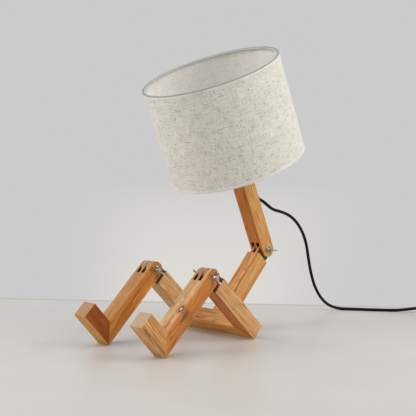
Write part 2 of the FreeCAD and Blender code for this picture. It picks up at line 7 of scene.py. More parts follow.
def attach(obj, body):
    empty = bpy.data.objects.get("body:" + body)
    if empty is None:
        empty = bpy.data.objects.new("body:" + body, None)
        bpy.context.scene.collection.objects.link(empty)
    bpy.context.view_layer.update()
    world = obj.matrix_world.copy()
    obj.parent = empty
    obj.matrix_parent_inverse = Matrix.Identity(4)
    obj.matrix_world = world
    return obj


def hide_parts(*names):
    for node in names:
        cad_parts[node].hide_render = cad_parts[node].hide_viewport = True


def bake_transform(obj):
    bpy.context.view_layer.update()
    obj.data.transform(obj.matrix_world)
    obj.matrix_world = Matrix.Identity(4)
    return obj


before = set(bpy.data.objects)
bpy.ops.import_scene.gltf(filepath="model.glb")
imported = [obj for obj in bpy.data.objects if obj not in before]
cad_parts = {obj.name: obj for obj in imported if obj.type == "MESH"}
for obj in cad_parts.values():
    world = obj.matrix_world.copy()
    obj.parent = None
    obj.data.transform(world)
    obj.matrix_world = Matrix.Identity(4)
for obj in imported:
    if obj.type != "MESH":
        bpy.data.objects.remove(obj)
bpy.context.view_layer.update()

# Seat frame: two thighs and the crossbar, 25 mm square bars of oak, mitred and dowelled at the
# corners. The bars are planed, their long edges eased with sandpaper, then oiled a honey brown.

half_beam = 0.0125
leg_spacing = 0.12
seat_angle = math.radians(44.4)
thigh_dir = Vector((-math.cos(seat_angle), 0, math.sin(seat_angle)))
torso_dir = Vector((math.sin(seat_angle), 0, math.cos(seat_angle)))
side = Vector((0, 1, 0))
hip = Vector((0.0390131, 0, 0))
near = -side * leg_spacing / 2
far = side * leg_spacing / 2


def linear(colour):
    """An sRGB hex colour as the linear numbers that the shader takes."""
    parts = [int(colour[place:place + 2], 16) / 255 for place in (1, 3, 5)]
    return [part / 12.92 if part <= 0.04045 else ((part + 0.055) / 1.055) ** 2.4 for part in parts] + [1]


def node(tree, kind, inputs=None, stops=None, **settings):
    """Adds a node with its settings, its colour stops, and the values or outputs that go into it."""
    made = tree.nodes.new("ShaderNode" + kind)
    for name, value in settings.items():
        setattr(made, name, value)
    for number, (place, colour) in enumerate(stops or []):
        stop = made.color_ramp.elements[number] if number < 2 else made.color_ramp.elements.new(place)
        stop.position = place
        stop.color = linear(colour)
    for socket, value in (inputs or {}).items():
        if isinstance(value, bpy.types.NodeSocket):
            tree.links.new(value, made.inputs[socket])
        else:
            made.inputs[socket].default_value = value
    return made


def new_material(name):
    """An empty material: its node tree and its surface shader."""
    material = bpy.data.materials.new(name)
    material.use_nodes = True
    return material, material.node_tree, material.node_tree.nodes["Principled BSDF"]


def connect(tree, output, shader, socket):
    tree.links.new(output, shader.inputs[socket])


def oiled_wood(name, middle, grain, across, pith, seed, faces, joint=None, knot=None, marks=()):
    """Oiled oak: honey brown with a dull sheen, patterned in millimetres with its grain along the bar's Z.

    The tree's centre lies at pith, outside the bar, so the growth rings come out as lines along
    the faces and as arcs on the ends. faces holds the pale and the dark tone of the two faces
    across X, then of the two across Y, and last the tone of the sawn ends. The tones of the faces
    are partly how flat-sawn and quarter-sawn faces take the oil and partly painted light and shade,
    matched face by face. joint is where a finger joint's bolt crosses the bar.
    A knot runs in along X. Marks are pin knots, stains, nail holes and painted shade along an edge: a place,
    radii, a strength.
    """
    material, tree, shader = new_material(name)
    bar_frame = Matrix((across, grain.cross(across), grain)).transposed()
    place = node(tree, "TexCoord")
    bar = node(tree, "Mapping", {"Vector": place.outputs["Object"], "Location": middle,
                                 "Rotation": bar_frame.to_euler(), "Scale": (0.001, 0.001, 0.001)},
               vector_type="TEXTURE").outputs[0]
    # Rings about 2.2 mm apart wander a few millimetres over the length of a bar
    drawn_out = node(tree, "Mapping", {"Vector": bar, "Location": (0, 0, 31 * seed), "Scale": (1, 1, 0.07)})
    wander = node(tree, "TexNoise", {"Vector": drawn_out.outputs[0], "Scale": 0.09, "Detail": 2})
    centred = node(tree, "VectorMath", {0: wander.outputs["Color"], 1: (0.5, 0.5, 0.5)}, operation="SUBTRACT")
    shifted = node(tree, "VectorMath", {0: centred.outputs[0], 1: (15, 15, 0), 2: drawn_out.outputs[0]},
                   operation="MULTIPLY_ADD")
    from_pith = node(tree, "VectorMath", {0: shifted.outputs[0], 1: (pith[0], pith[1], 0)},
                     operation="SUBTRACT").outputs[0]
    if knot:
        # The grain sweeps round a knot: the rings are pushed out over 16 mm round it
        to_knot = node(tree, "VectorMath", {0: bar, 1: (0, knot[0], knot[1])}, operation="SUBTRACT")
        flattened = node(tree, "VectorMath", {0: to_knot.outputs[0], 1: (0, 1, 0.62)}, operation="MULTIPLY")
        knot_distance = node(tree, "VectorMath", {0: flattened.outputs[0]},
                             operation="LENGTH").outputs["Value"]
        push = node(tree, "MapRange", {"Value": knot_distance, "From Min": 1, "From Max": 16,
                                       "To Min": 11, "To Max": 0}, interpolation_type="SMOOTHERSTEP")
        pushed = node(tree, "CombineXYZ", {"X": push.outputs[0]})
        from_pith = node(tree, "VectorMath", {0: from_pith, 1: pushed.outputs[0]}, operation="ADD").outputs[0]
    rings = node(tree, "TexWave", {"Vector": from_pith, "Scale": 0.14, "Distortion": 1.3, "Detail": 3,
                                   "Detail Scale": 1.4, "Detail Roughness": 0.6},
                 wave_type="RINGS", rings_direction="Z", wave_profile="SAW").outputs["Fac"]
    ring_tone = node(tree, "ValToRGB", {"Fac": rings},
                     stops=[(0, "#ffffff"), (1, "#fff6ea"), (0.45, "#f8ead8"), (0.8, "#d5a67c"),
                            (0.92, "#b98557")])
    # Broad bands of darker wood, some 9 mm wide and 130 mm long
    bands = node(tree, "TexNoise", {"Vector": drawn_out.outputs[0], "Scale": 0.11, "Detail": 3,
                                    "Roughness": 0.55}).outputs["Fac"]
    # Fibres 0.8 mm apart and open pores under 1 mm wide, both twice as coarse as they are, so that they show
    fine = node(tree, "Mapping", {"Vector": bar, "Location": (0, 0, 57 * seed), "Scale": (1, 1, 0.035)})
    fibres = node(tree, "TexNoise", {"Vector": fine.outputs[0], "Scale": 1.3, "Detail": 2,
                                     "Roughness": 0.7}).outputs["Fac"]
    pores = node(tree, "TexNoise", {"Vector": fine.outputs[0], "Scale": 0.7, "Detail": 1, "Distortion": 0.3})
    pore_dark = node(tree, "MapRange", {"Value": pores.outputs["Fac"], "From Min": 0.63, "From Max": 0.72,
                                        "To Min": 0, "To Max": 0.55}).outputs[0]
    # The faces across X and across Y take their own tones: partly the oil's colour, partly painted light and
    # shade
    face_tones_and_shade = [node(tree, "ValToRGB", {"Fac": bands}, stops=[(0.32, dark), (0.66, pale)]).outputs[0]
             for pale, dark in (faces[:2], faces[2:4])]
    sideways = node(tree, "VectorMath", {0: place.outputs["Normal"], 1: grain.cross(across)},
                    operation="DOT_PRODUCT")
    sideways = node(tree, "Math", {0: sideways.outputs["Value"]}, operation="ABSOLUTE").outputs[0]
    sideways = node(tree, "MapRange", {"Value": sideways, "From Min": 0.5, "From Max": 0.86}).outputs[0]
    colour = node(tree, "Mix", {0: sideways, 6: face_tones_and_shade[0], 7: face_tones_and_shade[1]}, data_type="RGBA").outputs[2]
    colour = node(tree, "Mix", {0: 0.78, 6: colour, 7: ring_tone.outputs[0]},
                  data_type="RGBA", blend_type="MULTIPLY").outputs[2]
    fibre_tone = node(tree, "ValToRGB", {"Fac": fibres},
                      stops=[(0.34, "#c2a184"), (0.6, "#ffffff")]).outputs[0]
    colour = node(tree, "Mix", {0: 0.7, 6: colour, 7: fibre_tone},
                  data_type="RGBA", blend_type="MULTIPLY").outputs[2]
    colour = node(tree, "Mix", {0: pore_dark, 6: colour, 7: linear("#6b3a17")}, data_type="RGBA").outputs[2]
    # End grain soaks up the oil and keeps no sheen: greyer and rougher than the faces
    facing = node(tree, "VectorMath", {0: place.outputs["Normal"], 1: grain}, operation="DOT_PRODUCT")
    facing = node(tree, "Math", {0: facing.outputs["Value"]}, operation="ABSOLUTE").outputs[0]
    end_share = node(tree, "MapRange", {"Value": facing, "From Min": 0.8, "From Max": 0.97}).outputs[0]
    end_grain = node(tree, "Math", {0: end_share, 1: 0.62}, operation="MULTIPLY").outputs[0]
    colour = node(tree, "Mix", {0: end_grain, 6: colour, 7: linear(faces[4])}, data_type="RGBA").outputs[2]
    # The eased edges are drawn paler: partly wear from handling, partly a painted highlight along them
    spread = node(tree, "SeparateXYZ", {0: bar})
    edge_x = node(tree, "Math", {0: spread.outputs["X"]}, operation="ABSOLUTE").outputs[0]
    edge_y = node(tree, "Math", {0: spread.outputs["Y"]}, operation="ABSOLUTE").outputs[0]
    nearer = node(tree, "Math", {0: edge_x, 1: edge_y}, operation="MINIMUM").outputs[0]
    edge_tint = node(tree, "MapRange", {"Value": nearer, "From Min": 11.3, "From Max": 12.4,
                                     "To Min": 0, "To Max": 0.3}).outputs[0]
    colour = node(tree, "Mix", {0: edge_tint, 6: colour, 7: linear("#e3ae78")}, data_type="RGBA").outputs[2]
    if joint is not None:
        # Painted shade: the fingers' inner sides and the slots' roots are drawn near black
        off_bolt = node(tree, "Math", {0: spread.outputs["Z"], 1: joint}, operation="SUBTRACT").outputs[0]
        off_bolt = node(tree, "Math", {0: off_bolt}, operation="ABSOLUTE").outputs[0]
        in_joint = node(tree, "Math", {0: off_bolt, 1: 19}, operation="LESS_THAN").outputs[0]
        past_round = node(tree, "Math", {0: off_bolt, 1: 15}, operation="GREATER_THAN").outputs[0]
        root = node(tree, "Math", {0: past_round, 1: end_share}, operation="MULTIPLY").outputs[0]
        # The outer slots are open at the side, so less painted shade lies at their roots
        closed_in = node(tree, "MapRange", {"Value": edge_y, "From Min": 7.4, "From Max": 8.2,
                                            "To Min": 1, "To Max": 0.55}).outputs[0]
        root = node(tree, "Math", {0: root, 1: closed_in}, operation="MULTIPLY").outputs[0]
        inner = node(tree, "Math", {0: edge_y, 1: 12.3}, operation="LESS_THAN").outputs[0]
        finger_side = node(tree, "Math", {0: inner, 1: sideways}, operation="MULTIPLY").outputs[0]
        painted_slot_shade = node(tree, "Math", {0: root, 1: finger_side}, operation="MAXIMUM").outputs[0]
        painted_slot_shade = node(tree, "Math", {0: painted_slot_shade, 1: in_joint}, operation="MULTIPLY").outputs[0]
        painted_slot_shade = node(tree, "Math", {0: painted_slot_shade, 1: 0.88}, operation="MULTIPLY").outputs[0]
        colour = node(tree, "Mix", {0: painted_slot_shade, 6: colour, 7: linear("#2b1509")},
                      data_type="RGBA").outputs[2]
    if knot:
        # The knot: a pale heart, a dark bark ring round it and a brown halo
        share = node(tree, "Math", {0: knot_distance, 1: 12}, operation="DIVIDE").outputs[0]
        knot_tone = node(tree, "ValToRGB", {"Fac": share},
                         stops=[(0, "#ecdcc0"), (1, "#a9713f"), (0.12, "#dfc39a"), (0.18, "#2b1509"),
                                (0.26, "#4a2610"), (0.34, "#9a6233")])
        knot_cover = node(tree, "MapRange", {"Value": share, "From Min": 0.2, "From Max": 0.6,
                                             "To Min": 1, "To Max": 0}).outputs[0]
        colour = node(tree, "Mix", {0: knot_cover, 6: colour, 7: knot_tone.outputs[0]},
                      data_type="RGBA").outputs[2]
    for spot, radii, strength in marks:
        to_mark = node(tree, "VectorMath", {0: bar, 1: spot}, operation="SUBTRACT").outputs[0]
        in_radii = node(tree, "VectorMath", {0: to_mark, 1: [1 / radius for radius in radii]},
                        operation="MULTIPLY").outputs[0]
        mark_distance = node(tree, "VectorMath", {0: in_radii}, operation="LENGTH").outputs["Value"]
        inside = node(tree, "MapRange", {"Value": mark_distance, "From Min": 0.5, "From Max": 1,
                                         "To Min": strength, "To Max": 0}).outputs[0]
        colour = node(tree, "Mix", {0: inside, 6: colour, 7: linear("#34190a")}, data_type="RGBA").outputs[2]
    connect(tree, colour, shader, "Base Color")
    gloss = node(tree, "MapRange", {"Value": fibres, "From Min": 0.3, "From Max": 0.7,
                                    "To Min": 0.6, "To Max": 0.44})
    rough = node(tree, "Math", {0: gloss.outputs[0], 1: end_grain}, operation="ADD")
    connect(tree, rough.outputs[0], shader, "Roughness")
    height = node(tree, "Math", {0: fibres, 1: pore_dark}, operation="SUBTRACT")
    relief = node(tree, "Bump", {"Strength": 0.5, "Distance": 0.00012, "Height": height.outputs[0]})
    connect(tree, relief.outputs[0], shader, "Normal")
    shader.inputs["Specular IOR Level"].default_value = 0.3
    return material


def finish(name, material):
    """Gives a piece of the frame its finish."""
    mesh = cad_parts[name].data
    mesh.materials.clear()
    mesh.materials.append(material)


seat_middle = hip + torso_dir * half_beam
knee_along_thigh = 130
nail_hole = ((-10.4, -12.5, 110.2), (1.2, 4, 1.2), 0.9)
# Each bar's tones are matched face by face, so besides the oil's colour they hold painted light and shade
finish("thigh_near", oiled_wood("oiled_oak_near_thigh", seat_middle + near, thigh_dir, torso_dir,
                                (-34, 20), 1, ("#e3974c", "#d08440", "#f6cd96", "#e2b37b", "#9d9187"),
                                joint=knee_along_thigh))
finish("thigh_far", oiled_wood("oiled_oak_far_thigh", seat_middle + far, thigh_dir, torso_dir,
                               (-40, -25), 2, ("#f6d8a2", "#e7be83", "#f6d49c", "#e5ba7d", "#9d9187"),
                               joint=knee_along_thigh, marks=[nail_hole]))
finish("hip_crossbar", oiled_wood("oiled_oak_crossbar", seat_middle + thigh_dir * half_beam, side, torso_dir,
                                  (-18, 30), 3, ("#f6c874", "#f6b465", "#efbc7b", "#d19d63", "#9d9187")))
# The dowels are plain turned beech, even in tone and paler at the ends than the bars
beech_dowel = oiled_wood("beech_dowel", seat_middle, side, torso_dir, (60, 0), 4,
                         ("#dbaa79", "#cd9a69", "#dbaa79", "#cd9a69", "#c2a184"))
finish("hip_dowels", beech_dowel)
finish("torso_dowels", beech_dowel)

# Torso: one bar that stands square on the middle of the crossbar, held by two dowels. Its upper
# end is sawn into two fingers that turn between the neck's three on a bolt.

elbow_along_torso = 131
# Painted shade: a dark streak along the torso's edge between its front and side faces
painted_edge_shade = ((-12.5, -9.2, 62), (3, 2.6, 70), 0.55)
finish("torso_beam", oiled_wood("oiled_oak_torso", hip + thigh_dir * half_beam, torso_dir, -thigh_dir,
                                (30, 4), 5, ("#f4bc74", "#dca162", "#f6c981", "#e4af6c", "#9d9187"),
                                joint=elbow_along_torso, marks=[painted_edge_shade]))

# Shins and feet: each shin has three fingers at the knee and a mitre at the heel, where the short
# foot is glued on with two dowels. The near shin has a sound knot in its front face.

knee = Vector((-0.0451226, 0, 0.0998871))
shin_dir = Vector((-0.7411, 0, -0.6714)).normalized()
toe_dir = Vector((-0.6714, 0, 0.7411)).normalized()
shin_length = 0.135
heel = knee + shin_dir * shin_length - toe_dir * half_beam
sound_knot = (-8.5, 69)
pin_knots = [((0.9, -12.5, 110), (1.1, 2, 4), 0.6), ((8.5, -12.5, 107), (1, 2, 5), 0.5)]
swirl = ((3, -12.5, 74), (4, 3, 13), 0.5)
mineral_flecks = [((10.8, 12.5, 57.5), (1.2, 2, 3.4), 0.8), ((10.5, 12.5, 46), (1, 2, 3.6), 0.7),
                  ((11.2, 12.5, 51), (0.7, 2, 8), 0.5)]
brown_band = ((10.5, 12.5, 34), (4.4, 2, 46), 0.3)

finish("shin_near", oiled_wood("oiled_oak_near_shin", knee + near, shin_dir, toe_dir,
                               (-42, -16), 6, ("#eaca98", "#ceaa7a", "#f2aa54", "#d28c44", "#9d9187"),
                               joint=0, knot=sound_knot, marks=pin_knots + [swirl]))
finish("shin_far", oiled_wood("oiled_oak_far_shin", knee + far, shin_dir, toe_dir,
                              (36, 26), 7, ("#d4a66d", "#bd8d59", "#eca749", "#cc8b3b", "#9d9187"), joint=0))
finish("foot_near", oiled_wood("oiled_oak_near_foot", heel - shin_dir * half_beam + near, toe_dir, shin_dir,
                               (-30, 12), 8, ("#f6d796", "#f6bc7d", "#f6c57d", "#d6a667", "#a9a195"),
                               marks=mineral_flecks + [brown_band]))
finish("foot_far", oiled_wood("oiled_oak_far_foot", heel - shin_dir * half_beam + far, toe_dir, shin_dir,
                              (26, -20), 9, ("#f6c76e", "#edab5c", "#b5661d", "#9c5517", "#928276")))
finish("heel_dowels_near", beech_dowel)
finish("heel_dowels_far", beech_dowel)

# Joint hardware: a wing bolt through each finger joint with a washer on both sides and a cast wing
# nut on the near side. Zinc-plated steel: a cool grey metal with a soft, uneven shine.


def zinc_plate(name, tone, roughest, smoothest):
    """Zinc plating over steel, mottled over about 2 mm, with a fine grit 0.3 mm across."""
    material, tree, shader = new_material(name)
    place = node(tree, "TexCoord").outputs["Object"]
    mottle = node(tree, "TexNoise", {"Vector": place, "Scale": 500, "Detail": 3}).outputs["Fac"]
    colour = node(tree, "ValToRGB", {"Fac": mottle}, stops=[(0.3, "#9a9b9a"), (0.7, tone)]).outputs[0]
    connect(tree, colour, shader, "Base Color")
    rough = node(tree, "MapRange", {"Value": mottle, "From Min": 0.3, "From Max": 0.7,
                                    "To Min": roughest, "To Max": smoothest}).outputs[0]
    connect(tree, rough, shader, "Roughness")
    grit = node(tree, "TexNoise", {"Vector": place, "Scale": 3300, "Detail": 2}).outputs["Fac"]
    relief = node(tree, "Bump", {"Strength": 0.3, "Distance": 0.00005, "Height": grit})
    connect(tree, relief.outputs[0], shader, "Normal")
    shader.inputs["Metallic"].default_value = 1.0
    return material


zinc_steel = zinc_plate("zinc_plated_steel", "#d2d4d4", 0.42, 0.26)
for joint in ("knee_%s_near", "knee_%s_far", "elbow_%s"):
    for piece in ("bolt", "washers", "wing_nut"):
        finish(joint % piece, zinc_steel)

# Neck: a bar with three fingers at the elbow and a slanting bore near its top, through which the
# cord leaves at the back. The lamp holder is screwed on its end.

lean = math.radians(23)
elbow = Vector((0.1392297, 0, 0.1202035))
neck_dir = Vector((-math.sin(lean), 0, math.cos(lean)))
neck_back = Vector((math.cos(lean), 0, math.sin(lean)))
cord_hole_along = 0.088
holder_start = 0.128
finish("neck_beam", oiled_wood("oiled_oak_neck", elbow, neck_dir, neck_back, (-36, 22), 10,
                               ("#efa34d", "#d0893f", "#f0c178", "#deab64", "#9d9187"), joint=0))


def neck_point(along, back=0.0):
    """A point of the neck's plane: along the neck from the elbow, and towards its back."""
    return elbow + neck_dir * along + neck_back * back


# Strain relief: a black moulded sleeve pressed into the bore, stepped into ribs that taper to the
# cord so that it bends gently where it leaves the wood.


def shaped(name, points, faces, material):
    """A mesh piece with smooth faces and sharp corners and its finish."""
    mesh = bpy.data.meshes.new(name)
    mesh.from_pydata(points, [], faces)
    mesh.materials.append(material)
    mesh.shade_smooth()
    mesh.set_sharp_from_angle(angle=math.radians(35))
    piece = bpy.data.objects.new(name, mesh)
    bpy.context.scene.collection.objects.link(piece)
    return piece


def turned(name, base, axis, profile, material, segments=72, swell=None):
    """A piece turned about an axis, from (along, radius) points, closed on itself or at the axis.

    swell gives what the radius gains at a place along the axis and an angle about it.
    """
    across = axis.cross(side).normalized() if abs(axis.y) < 0.9 else Vector((1, 0, 0))
    third = axis.cross(across)
    points = []
    rows = []
    for along, radius in profile:
        if radius == 0:
            rows.append([len(points)] * segments)
            points.append(base + axis * along)
            continue
        rows.append(range(len(points), len(points) + segments))
        for index in range(segments):
            angle = 2 * math.pi * index / segments
            reach = radius + (swell(along, angle) if swell else 0)
            points.append(base + axis * along + (across * math.cos(angle) + third * math.sin(angle)) * reach)
    pairs = list(zip(rows, rows[1:]))
    if profile[0][1] > 0:
        pairs.append((rows[-1], rows[0]))
    faces = []
    for low, high in pairs:
        for index in range(segments):
            following = (index + 1) % segments
            corners = [low[index], high[index], high[following], low[following]]
            faces.append(list(dict.fromkeys(corners)))
    return shaped(name, points, faces, material)


def soft_plastic(name, tone, worn, roughness, grain_size, depth):
    """A moulded plastic skin: a fine grain, and scuffed spots a shade paler than the rest."""
    material, tree, shader = new_material(name)
    place = node(tree, "TexCoord").outputs["Object"]
    scuffs = node(tree, "TexNoise", {"Vector": place, "Scale": 140, "Detail": 4,
                                     "Roughness": 0.65}).outputs["Fac"]
    colour = node(tree, "ValToRGB", {"Fac": scuffs}, stops=[(0.5, tone), (0.78, worn)]).outputs[0]
    connect(tree, colour, shader, "Base Color")
    rough = node(tree, "MapRange", {"Value": scuffs, "From Min": 0.3, "From Max": 0.8,
                                    "To Min": roughness, "To Max": roughness + 0.16}).outputs[0]
    connect(tree, rough, shader, "Roughness")
    grain = node(tree, "TexNoise", {"Vector": place, "Scale": 1 / grain_size, "Detail": 2}).outputs["Fac"]
    relief = node(tree, "Bump", {"Strength": 0.5, "Distance": depth, "Height": grain})
    connect(tree, relief.outputs[0], shader, "Normal")
    shader.inputs["Specular IOR Level"].default_value = 0.2
    return material


cord_radius = 0.0025
slope = math.radians(43.4)
relief_dir = neck_back * math.sin(slope) - neck_dir * math.cos(slope)
cord_hole = neck_point(cord_hole_along, half_beam)
relief_depth = 0.012
relief_length = 0.014
relief_radius = 0.0042
relief_tip = cord_hole + relief_dir * relief_length
# Flexible PVC: black, with a dull shine and a fine moulded grain
black_pvc = soft_plastic("flexible_black_pvc", "#0d0d0d", "#1a1918", 0.5, 0.0004, 0.00002)
relief_profile = [(-relief_depth, cord_radius), (-relief_depth, relief_radius), (0.0022, relief_radius)]
for step in range(5):
    low = 0.003 + step * 0.0021
    outer = relief_radius - step * 0.0002
    relief_profile += [(low, outer - 0.0007), (low + 0.0006, outer - 0.0007),
                       (low + 0.0008, outer), (low + 0.0019, outer - 0.0001)]
relief_profile += [(0.0138, 0.0032), (relief_length, 0.003), (relief_length, cord_radius)]
relief = turned("strain_relief_sleeve", cord_hole, relief_dir, relief_profile, black_pvc, 40)
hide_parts("strain_relief")
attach(relief, "neck")

# Cord: 1.8 m of black round two-core flex, 5 mm across, with a smooth extruded sheath. It sags from
# the neck to the floor, runs through the inline switch, and its spare length lies in a flat coil.

heading = math.radians(-56.6)
ahead = Vector((math.cos(heading), math.sin(heading), 0))
to_right = Vector((math.sin(heading), -math.cos(heading), 0))
hang = [Vector(point) / 1000 for point in (
    (166, 3, 181), (193, 7, 176), (222, 10.5, 167), (248, 13.5, 149), (268, 16, 122), (275.5, 17, 93),
    (283, 17.5, 66), (292, 15, 38), (304, 6, 14), (318, -9, 2.5), (338, -38, 2.5), (356, -68, 2.5),
    (377, -98, 2.5), (395, -126, 8))]
switch_length = 0.062
switch_start = hang[-1] + ahead * 0.018
switch_end = switch_start + ahead * switch_length
floor_level = cord_radius
upper_level = 0.008
route = [cord_hole + relief_dir * 0.002, relief_tip, relief_tip + relief_dir * 0.016] + hang
route += [switch_start, switch_start + ahead * switch_length / 2, switch_end]
for along, level in ((0.006, 0.008), (0.012, 0.0073), (0.018, 0.00525), (0.024, 0.0031), (0.03, floor_level)):
    point = switch_end + ahead * along
    point.z = level
    route.append(point)

# The coil's half turns spiral in on the floor, climb onto the first layer and spiral out again
points_per_half_turn = 8
half_turns = 13
inmost = 7
inmost_radius = 0.0202
inside_corners = 1 / math.cos(math.pi / 2 / points_per_half_turn) ** 2
station = route[-1]
forward = ahead
sideways = to_right
level = floor_level
for index in range(half_turns):
    radius = inmost_radius + abs(index - inmost) * 0.00275
    next_level = floor_level if index < inmost else upper_level
    centre = station + sideways * radius
    for step in range(1, points_per_half_turn + 1):
        turn = math.pi * (step - 0.5) / points_per_half_turn
        reach = (forward * math.sin(turn) - sideways * math.cos(turn)) * radius * inside_corners
        height = level + (next_level - level) * (step - 0.5) / points_per_half_turn
        route.append(Vector((centre.x + reach.x, centre.y + reach.y, height)))
    station = centre + sideways * radius
    level = next_level
    forward = -forward
    sideways = -sideways
station.z = upper_level
plug_start = station + forward * 0.026
route += [station + forward * 0.009, station + forward * 0.018, plug_start + forward * 0.001]


def cord_spline(points, thickness):
    """A smooth NURBS line through a route, round in section where it has a thickness."""
    curve = bpy.data.curves.new("cord_line", "CURVE")
    curve.dimensions = "3D"
    spline = curve.splines.new("NURBS")
    spline.points.add(len(points) - 1)
    for target, point in zip(spline.points, points):
        target.co = (*point, 1)
    spline.order_u = 3
    spline.use_endpoint_u = True
    spline.resolution_u = 5
    curve.bevel_depth = thickness
    curve.bevel_resolution = 4
    curve.use_fill_caps = thickness > 0
    line = bpy.data.objects.new("cord_line", curve)
    mesh = bpy.data.meshes.new_from_object(line)
    bpy.data.objects.remove(line)
    return mesh


def cord_piece(name, points, thickness, material):
    """A length of cord as a mesh tube along its spline."""
    mesh = cord_spline(points, thickness)
    mesh.name = name
    mesh.materials.clear()
    mesh.materials.append(material)
    mesh.shade_smooth()
    piece = bpy.data.objects.new(name, mesh)
    bpy.context.scene.collection.objects.link(piece)
    return piece


# Extruded PVC: near black all over, with a duller shine than the sleeve
cord_sheath = soft_plastic("extruded_pvc_sheath", "#040404", "#0c0b0a", 0.6, 0.0011, 0.00002)
mains_cord = cord_piece("mains_cord", route, cord_radius, cord_sheath)
cord_path = [tuple(vertex.co) for vertex in cord_spline(route, 0).vertices]
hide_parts("cord_lead", "cord_coil")
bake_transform(mains_cord)

# The same flex runs on up the bore inside the neck to the contact block of the lamp holder
bore_corner = neck_point(cord_hole_along + half_beam / math.tan(slope))
bore_route = [cord_hole - relief_dir * relief_depth, bore_corner + relief_dir * 0.005, bore_corner,
              bore_corner + neck_dir * 0.005, neck_point(holder_start)]
flex = cord_piece("flex_in_bore", bore_route, cord_radius, cord_sheath)
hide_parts("flex_in_neck")
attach(flex, "neck")

# Lamp holder: a black phenolic cap and body with a collar, screwed to a threaded brass tube in the
# neck. A ribbed ring screws down over the body and clamps the shade's frame on the collar.

# Pressed phenolic: hard and black, with an even gloss that scuffs grey
phenolic = soft_plastic("black_phenolic_moulding", "#1a1918", "#2c2a28", 0.34, 0.0006, 0.00002)


def brass_plate(name, tone, shade):
    """Nickel plating over brass: a warm metal, tarnished in spots about 3 mm across."""
    material, tree, shader = new_material(name)
    place = node(tree, "TexCoord").outputs["Object"]
    tarnish = node(tree, "TexNoise", {"Vector": place, "Scale": 320, "Detail": 4}).outputs["Fac"]
    colour = node(tree, "ValToRGB", {"Fac": tarnish}, stops=[(0.35, shade), (0.6, tone)]).outputs[0]
    connect(tree, colour, shader, "Base Color")
    rough = node(tree, "MapRange", {"Value": tarnish, "From Min": 0.3, "From Max": 0.7,
                                    "To Min": 0.4, "To Max": 0.2}).outputs[0]
    connect(tree, rough, shader, "Roughness")
    shader.inputs["Metallic"].default_value = 1.0
    return material


plated_brass = brass_plate("nickel_plated_brass", "#d8cfae", "#a89a72")
finish("holder_nipple", plated_brass)
finish("holder_contacts", phenolic)
cap_profile = [(0.1155, 0.0052), (0.1155, 0.0106), (0.1159, 0.011), (0.1185, 0.012), (0.1243, 0.0191),
               (0.1252, 0.0199), (0.1262, 0.02), (holder_start, 0.02), (holder_start, 0.015), (0.125, 0.015),
               (0.1185, 0.006), (0.1185, 0.0052)]
holder_cap = turned("holder_cap_moulding", elbow, neck_dir, cap_profile, phenolic)
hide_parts("holder_cap")
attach(holder_cap, "neck")

collar_top = 0.158
thread_pitch = 0.003
body_profile = [(holder_start, 0.017), (0.1281, 0.0198), (0.1285, 0.02), (0.1552, 0.02), (0.1555, 0.0202),
                (0.1555, 0.0226), (0.156, 0.023), (0.1576, 0.023), (collar_top, 0.0227), (collar_top, 0.0199)]
body_profile += [(0.1583 + step * 0.00045, 0.0193) for step in range(25)]
body_profile += [(0.1695, 0.0196), (0.17, 0.0192), (0.17, 0.0172), (0.1697, 0.017)]


def holder_thread(along, angle):
    """The coarse thread that the clamping ring runs on."""
    if not 0.1582 < along < 0.1693:
        return 0
    return 0.0005 * (0.5 + 0.5 * math.cos(2 * math.pi * along / thread_pitch - angle))


holder_body = turned("holder_body_moulding", elbow, neck_dir, body_profile, phenolic, 96,
                     holder_thread)
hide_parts("holder_body")
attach(holder_body, "neck")

ring_profile = [(0.1602, 0.0201), (0.16, 0.0203), (0.16, 0.0272), (0.1603, 0.0278), (0.1609, 0.028),
                (0.1615, 0.028), (0.1665, 0.028), (0.1671, 0.028), (0.1677, 0.0277), (0.168, 0.0271),
                (0.168, 0.0203), (0.1678, 0.0201)]


def ring_grip(along, angle):
    """Rounded grooves along the ring for the fingers."""
    return -0.0011 * max(0, math.cos(24 * angle)) ** 3 if 0.1612 < along < 0.1668 else 0


clamp_ring = turned("holder_clamping_ring", elbow, neck_dir, ring_profile, phenolic, 192,
                    ring_grip)
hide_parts("holder_ring")
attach(clamp_ring, "neck")

# Bulb: a 60 mm globe of glass that is frosted inside, so it looks milk-white and smooth. Its cap
# is pressed from nickel-plated brass with a rolled screw thread and is cemented on.

glass_low = 0.1634
globe_middle = 0.2154
globe_radius = 0.03
opal, tree, shader = new_material("opal_glass")
cloudy = node(tree, "TexNoise", {"Vector": node(tree, "TexCoord").outputs["Object"], "Scale": 45,
                                 "Detail": 3}).outputs["Fac"]
connect(tree, node(tree, "ValToRGB", {"Fac": cloudy}, stops=[(0.3, "#e6e3db"), (0.7, "#f1efe9")]).outputs[0],
        shader, "Base Color")
connect(tree, node(tree, "MapRange", {"Value": cloudy, "To Min": 0.16, "To Max": 0.3}).outputs[0],
        shader, "Roughness")
shader.inputs["IOR"].default_value = 1.5
shader.inputs["Coat Weight"].default_value = 0.4
glass_profile = [(glass_low, 0), (glass_low, 0.0128), (glass_low + 0.0015, 0.0137)]
for step in range(7):
    share = step / 6
    glass_profile.append((glass_low + 0.003 + 0.024 * share, 0.0142 + 0.0085 * share ** 1.25))
for step in range(20):
    turn = math.radians(-36 + 126 * step / 19)
    radius = globe_radius * math.cos(turn) if step < 19 else 0
    glass_profile.append((globe_middle + globe_radius * math.sin(turn), radius))
bulb = turned("bulb_envelope", elbow, neck_dir, glass_profile, opal, 96)
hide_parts("bulb_glass")
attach(bulb, "neck")

